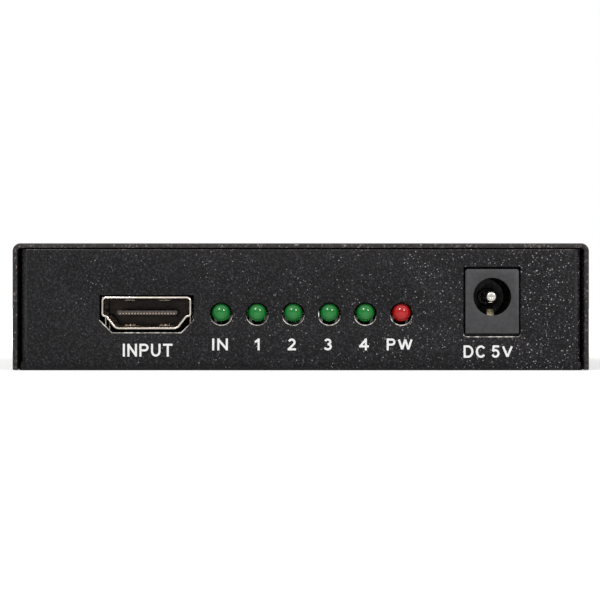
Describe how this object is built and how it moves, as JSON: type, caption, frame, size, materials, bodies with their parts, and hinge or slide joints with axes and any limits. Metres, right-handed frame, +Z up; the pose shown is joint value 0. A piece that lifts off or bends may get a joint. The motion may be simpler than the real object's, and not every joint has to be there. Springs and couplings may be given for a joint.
{
  "type": "hdmi splitter",
  "caption": "Flat black metal box that copies one HDMI input in front to outputs behind, with a row of status lamps and a DC power jack.",
  "frame": {"origin": "middle of the underside, on the surface that the body rests on", "axes": "+X to the right seen from the front, +Y from the front panel to the back panel, +Z up"},
  "size_m": [0.096, 0.0635, 0.0212],
  "materials": {
    "powder_coat": "fine-texture black powder coat",
    "black_screws": "black zinc, satin",
    "zinc_steel": "bright zinc plate",
    "nickel_shell": "nickel plate, smooth",
    "socket_plastic": "moulded, fine matte",
    "gold_contacts": "gold flash, smooth",
    "green_lens": "clear coloured epoxy",
    "red_lens": "clear coloured epoxy",
    "jack_plastic": "moulded, satin",
    "nickel_pin": "nickel plate, bright",
    "spring_bronze": "plated spring bronze",
    "tinned_leads": "tin plate",
    "board_mask": "black solder mask, gloss",
    "chip_epoxy": "moulded epoxy",
    "can_aluminium": "drawn, satin",
    "ferrite": "moulded ferrite",
    "ceramic": "fired ceramic",
    "white_ink": "screen-printed ink"
  },
  "bodies": {
    "case": {"base_tray": "powder_coat", "top_cover": "powder_coat", "cover_screws": "black_screws", "board_standoffs": "zinc_steel", "main_board": "board_mask", "led_input": "green_lens", "led_1": "green_lens", "led_2": "green_lens", "led_3": "green_lens", "led_4": "green_lens", "led_power": "red_lens", "led_leads": "tinned_leads", "power_jack_housing": "jack_plastic", "power_jack_pin": "nickel_pin", "power_jack_rear_terminal": "tinned_leads", "power_jack_sleeve_terminal": "tinned_leads", "power_jack_shunt_terminal": "tinned_leads", "splitter_chip": "chip_epoxy", "memory_chip": "chip_epoxy", "voltage_regulator": "chip_epoxy", "crystal": "tinned_leads", "bulk_capacitors": "can_aluminium", "power_inductor": "ferrite", "ceramic_capacitors": "ceramic", "chip_resistors": "chip_epoxy", "input_shell": "nickel_shell", "input_insulator": "socket_plastic", "input_contacts": "gold_contacts", "output_1_shell": "nickel_shell", "output_1_insulator": "socket_plastic", "output_1_contacts": "gold_contacts", "output_2_shell": "nickel_shell", "output_2_insulator": "socket_plastic", "output_2_contacts": "gold_contacts", "output_3_shell": "nickel_shell", "output_3_insulator": "socket_plastic", "output_3_contacts": "gold_contacts", "output_4_shell": "nickel_shell", "output_4_insulator": "socket_plastic", "output_4_contacts": "gold_contacts"},
    "sleeve_contact": {"power_jack_spring": "spring_bronze"}
  },
  "joints": [
    {"name": "sleeve_contact_flex", "type": "hinge", "parent": "case", "child": "sleeve_contact", "pos_m": [0.03185, -0.0213, 0.00771], "axis": [1, 0, 0], "range_deg": [0, 7.4], "stiffness_Nm_per_rad": 0.05, "springref_deg": -2.86}
  ]
}
